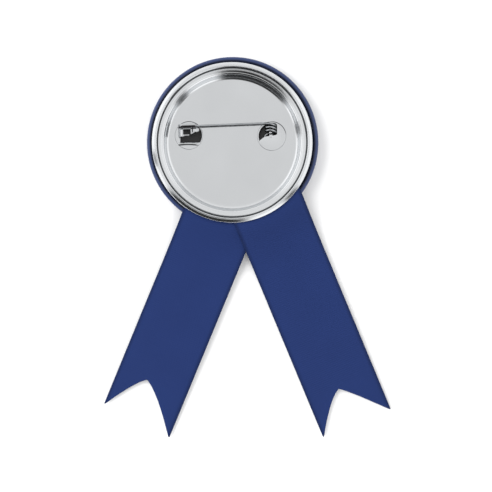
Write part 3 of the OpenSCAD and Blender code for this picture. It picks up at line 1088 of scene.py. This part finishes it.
class BUILD_OT_ribbon_tails(bpy.types.Operator):
    """Make the two grosgrain tails with their swallow-tail ends"""
    bl_idname = "ribbon_pin.ribbon_tails"
    bl_label = "Ribbon tails"

    def execute(self, context):
        sizes = context.scene.ribbon_sizes
        material = grosgrain(sizes.colour, sizes.width)
        tree = rib_tree()
        for tail in TAILS:
            self.make(context, sizes, tail, material, tree)
        return {"FINISHED"}

    def make(self, context, sizes, tail, material, tree):
        """Makes one tail."""
        across, along, area = self.band(sizes, tail)
        middle = self.laid(sizes, tail, across, along)
        rows, columns = across.shape
        shape = bmesh.new()
        add_sheet(shape, on_badge(middle.reshape(-1, 3)), grid_faces(rows, columns), sizes.thickness,
                  sizes.thickness / 2, rim_steps=2)
        piece = piece_from(tail.name, shape, [])
        source = np.zeros(len(piece.data.vertices), np.int32)
        piece.data.attributes["source"].data.foreach_get("value", source)
        weave = np.column_stack([across.ravel()[source], along.ravel()[source], np.zeros(len(source))])
        piece.data.attributes.new("weave", "FLOAT_VECTOR", "POINT").data.foreach_set(
            "vector", weave.astype(np.float32).ravel())
        grown(piece, tree, Width=sizes.width, Spacing=sizes.rib, Depth=sizes.rib_depth,
              Selvedge=sizes.selvedge, Material=material)
        piece.data.shade_smooth()
        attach(piece, "badge")
        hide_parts(tail.node)

    def band(self, sizes, tail):
        """Distances across and along the ribbon of a grid whose rows follow the ribs, and its area."""
        width = sizes.width / MM
        step = sizes.rib / MM / RIB_SAMPLES
        # Columns lie closer together in the selvedges, and one ends in the notch
        edge = np.array([0, 0.25, 0.7])
        inner = 1.4
        columns = np.concatenate([
            edge, np.linspace(inner, tail.notch_at, 12),
            np.linspace(tail.notch_at, width - inner, 17)[1:], width - edge[::-1]])
        offset = tail.left_edge + columns
        start = np.sqrt(CRIMP_IN ** 2 - offset ** 2)
        left = columns < tail.notch_at
        reach = np.where(left, tail.notch_at, width - tail.notch_at)
        deep = np.where(left, tail.tip_left, tail.tip_right) - tail.notch_end
        curve = np.where(left, tail.curve_left, tail.curve_right)
        end = tail.notch_end + deep * (np.abs(columns - tail.notch_at) / reach) ** curve
        # Straight rows follow the ribs; above and below them the rows bend to the crimp and the end
        first_row = math.ceil(start.max() / step + 1) * step
        last_row = math.floor(tail.notch_end / step - 8) * step
        top = np.linspace(0, 1, math.ceil((first_row - start.min()) / step))[:-1, None]
        bottom = np.linspace(0, 1, math.ceil((end.max() - last_row) / step))[1:, None]
        rows = [
            start + (first_row - start) * top,
            np.repeat(np.arange(first_row, last_row + step / 2, step)[:, None], len(columns), axis=1),
            last_row + (end - last_row) * bottom,
        ]
        along = np.vstack(rows)
        across = np.repeat(columns[None], len(along), axis=0)
        gaps = np.diff(columns)
        lengths = end - start
        area = float(np.sum((lengths[1:] + lengths[:-1]) / 2 * gaps))
        return across * MM, along * MM, area * MM * MM

    def laid(self, sizes, tail, across, along):
        """Places the ribbon's middle surface: out of the crimp, and down to hang just over the surface."""
        v = along / MM
        u = tail.left_edge + across / MM
        lean = math.radians(tail.lean)
        crimped = SHELL_HIGH.z / MM + CRIMP_GAP + tail.layer * LAYER_STEP
        # The stiff band leaves the round rim level and comes down slowly, lowest at its tips
        low = HANG - TIP_DROP * eased(v, TIP_DROP_FROM, tail.tip_right)
        run = np.maximum(0, np.hypot(u, v) - tail.fall_from) / tail.fall_run
        held = (1 + run) * np.exp(-run)
        from_edge = np.minimum(across, sizes.width - across) / MM
        turned_down = EDGE_DROP * (1 - eased(from_edge, 0, EDGE_DROP_WIDTH))
        height = low + (crimped - low) * held + sizes.thickness / MM / 2 - turned_down * (1 - held)
        return np.stack([
            u * math.cos(lean) + v * math.sin(lean),
            u * math.sin(lean) - v * math.cos(lean),
            height,
        ], axis=-1) * MM


class Gap(NamedTuple):
    """A dark gap in the studio dome, in degrees, and the share of the light that it takes away"""
    azimuth: float
    half_width: float
    soft: float
    top: float
    darkness: float


DARK_GAPS = [
    Gap(247, 34, 6, 79, 0.97),
    Gap(187, 4.5, 2.5, 50, 0.78),
    Gap(322, 6, 4, 60, 0.9),
    Gap(5, 40, 25, 35, 0.2),
    Gap(88, 42, 12, 64, 0.27),
]
# Brightness of the dome at each sine of the elevation, and the strength that it is a share of
DOME_STOPS = [(0, 1.34), (0.5, 1.52), (0.87, 1.16), (1, 0.87)]
DOME_STRENGTH = 1.6
# Elevations, in degrees, between which the gaps fade in, so that none shows behind the part in a low view
GAPS_CLEAR = (2, 4.5)
LIGHT_SIZE = 0.85
# From the badge's middle, in millimetres
PICTURE_MIDDLE = (4.58, -35.53, 5)


class BUILD_OT_stage(bpy.types.Operator):
    """Make the white floor, the soft light and the camera straight above"""
    bl_idname = "ribbon_pin.stage"
    bl_label = "Floor, light and camera"

    def execute(self, context):
        sizes = context.scene.stage_sizes
        self.add_floor(context, sizes)
        self.add_light(context, "key", sizes.key, azimuth=158)
        self.add_light(context, "fill", sizes.fill, azimuth=285)
        self.add_world(context)
        self.add_camera(context, sizes)
        context.scene.view_settings.view_transform = "Standard"
        return {"FINISHED"}

    def add_floor(self, context, sizes):
        """Adds the white floor, a hair below the ribbon pin so that the two don't share a plane."""
        half = sizes.floor / 2
        mesh = bpy.data.meshes.new("floor")
        z = -0.05 * MM
        mesh.from_pydata([(-half, -half, z), (half, -half, z), (half, half, z), (-half, half, z)], [],
                         [(0, 1, 2, 3)])
        material, tree = new_material("white paper")
        shader = node(tree, "ShaderNodeBsdfPrincipled", {
            "Base Color": linear("#F0F0F0"), "Roughness": 0.9, "Specular IOR Level": 0.1})
        mesh.materials.append(finish_material(material, shader))
        floor = bpy.data.objects.new("floor", mesh)
        context.scene.collection.objects.link(floor)

    def add_light(self, context, name, power, azimuth, tilt=50):
        """Adds a soft light a metre away, tilted from overhead, that the metal doesn't mirror."""
        light = bpy.data.lights.new(name, "AREA")
        light.shape = "SQUARE"
        light.size = LIGHT_SIZE
        light.energy = power
        lamp = bpy.data.objects.new(name, light)
        lamp.visible_glossy = False
        turn, lean = math.radians(azimuth), math.radians(tilt)
        place = Vector((math.cos(turn) * math.sin(lean), math.sin(turn) * math.sin(lean), math.cos(lean)))
        lamp.location = place
        lamp.rotation_euler = place.to_track_quat("Z", "Y").to_euler()
        context.scene.collection.objects.link(lamp)

    def add_world(self, context):
        """Adds a studio dome: dimmest overhead, brighter towards the sides, with a few dark gaps."""
        world = bpy.data.worlds.new("studio")
        world.use_nodes = True
        tree = world.node_tree
        tree.nodes.clear()
        context.scene.world = world
        direction = node(tree, "ShaderNodeTexCoord").outputs["Generated"]
        height = node(tree, "ShaderNodeSeparateXYZ", {"Vector": direction}).outputs["Z"]
        ramp = node(tree, "ShaderNodeValToRGB", {"Fac": height})
        while len(ramp.color_ramp.elements) < len(DOME_STOPS):
            ramp.color_ramp.elements.new(0.5)
        for element, (at, value) in zip(ramp.color_ramp.elements, DOME_STOPS):
            element.position = at
            element.color = [value / DOME_STRENGTH] * 3 + [1]
        light = node(tree, "ShaderNodeVectorMath", {0: ramp.outputs["Color"], "Scale": DOME_STRENGTH},
                     operation="SCALE").outputs["Vector"]
        level = node(tree, "ShaderNodeVectorMath", {0: direction, 1: (1, 1, 0)}, operation="MULTIPLY")
        flat = node(tree, "ShaderNodeVectorMath", {0: level.outputs["Vector"]}, operation="NORMALIZE")
        start, stop = (math.sin(math.radians(angle)) for angle in GAPS_CLEAR)
        clear = node(tree, "ShaderNodeMapRange", {"Value": height, "From Min": start, "From Max": stop},
                     interpolation_type="SMOOTHSTEP")
        for gap in DARK_GAPS:
            middle = math.radians(gap.azimuth)
            facing = node(tree, "ShaderNodeVectorMath", {
                0: flat.outputs["Vector"], 1: (math.cos(middle), math.sin(middle), 0)},
                operation="DOT_PRODUCT")
            near = node(tree, "ShaderNodeMapRange", {
                "Value": facing.outputs["Value"],
                "From Min": math.cos(math.radians(gap.half_width + gap.soft)),
                "From Max": math.cos(math.radians(gap.half_width - gap.soft))},
                interpolation_type="SMOOTHSTEP")
            below = node(tree, "ShaderNodeMapRange", {
                "Value": height,
                "From Min": math.sin(math.radians(gap.top + gap.soft)),
                "From Max": math.sin(math.radians(gap.top - gap.soft))},
                interpolation_type="SMOOTHSTEP")
            upright = node(tree, "ShaderNodeMath", {0: clear.outputs["Result"], 1: below.outputs["Result"]},
                           operation="MULTIPLY")
            covered = node(tree, "ShaderNodeMath", {0: near.outputs["Result"], 1: upright.outputs[0]},
                           operation="MULTIPLY")
            left = node(tree, "ShaderNodeMath", {0: covered.outputs[0], 1: -gap.darkness, 2: 1},
                        operation="MULTIPLY_ADD")
            light = node(tree, "ShaderNodeVectorMath", {0: light, "Scale": left.outputs[0]},
                         operation="SCALE").outputs["Vector"]
        back = node(tree, "ShaderNodeBackground", {"Color": light, "Strength": 1})
        node(tree, "ShaderNodeOutputWorld", {"Surface": back.outputs["Background"]})

    def add_camera(self, context, sizes):
        """Adds the camera, straight above the middle of the picture."""
        data = bpy.data.cameras.new("camera")
        data.sensor_width = 36
        data.lens = data.sensor_width * sizes.distance / sizes.view_width
        camera = bpy.data.objects.new("camera", data)
        aim = BADGE_MIDDLE + np.array(PICTURE_MIDDLE) * MM
        camera.location = (aim[0], aim[1], aim[2] + sizes.distance)
        context.scene.collection.objects.link(camera)
        context.scene.camera = camera


class BUILD_PT_ribbon_pin(bpy.types.Panel):
    """Sizes and build steps of the ribbon pin"""
    bl_idname = "BUILD_PT_ribbon_pin"
    bl_label = "Ribbon pin"
    bl_space_type = "VIEW_3D"
    bl_region_type = "UI"
    bl_category = "Ribbon pin"

    def draw(self, context):
        """Lists each group of sizes and each step."""
        for group, _ in GROUPS:
            sizes = getattr(context.scene, group)
            box = self.layout.box()
            box.label(text=type(sizes).__doc__)
            for name in type(sizes).__annotations__:
                box.prop(sizes, name)
        for step in STEPS:
            self.layout.operator(step.bl_idname)


GROUPS = [
    ("badge_sizes", BadgeSizes),
    ("plate_sizes", PlateSizes),
    ("catch_sizes", CatchSizes),
    ("pin_sizes", PinSizes),
    ("ribbon_sizes", RibbonSizes),
    ("stage_sizes", StageSizes),
]
STEPS = [BUILD_OT_stage, BUILD_OT_film_shell, BUILD_OT_tin_back, BUILD_OT_spring_pin, BUILD_OT_ribbon_tails]


def register():
    for name, group in GROUPS:
        bpy.utils.register_class(group)
        setattr(bpy.types.Scene, name, bpy.props.PointerProperty(type=group))
    for step in STEPS:
        bpy.utils.register_class(step)
    bpy.utils.register_class(BUILD_PT_ribbon_pin)


def unregister():
    bpy.utils.unregister_class(BUILD_PT_ribbon_pin)
    for step in reversed(STEPS):
        bpy.utils.unregister_class(step)
    for name, group in reversed(GROUPS):
        delattr(bpy.types.Scene, name)
        bpy.utils.unregister_class(group)


def main():
    register()
    bpy.ops.ribbon_pin.stage()
    bpy.ops.ribbon_pin.film_shell()
    bpy.ops.ribbon_pin.tin_back()
    bpy.ops.ribbon_pin.spring_pin()
    bpy.ops.ribbon_pin.ribbon_tails()


if __name__ == "__main__":
    main()
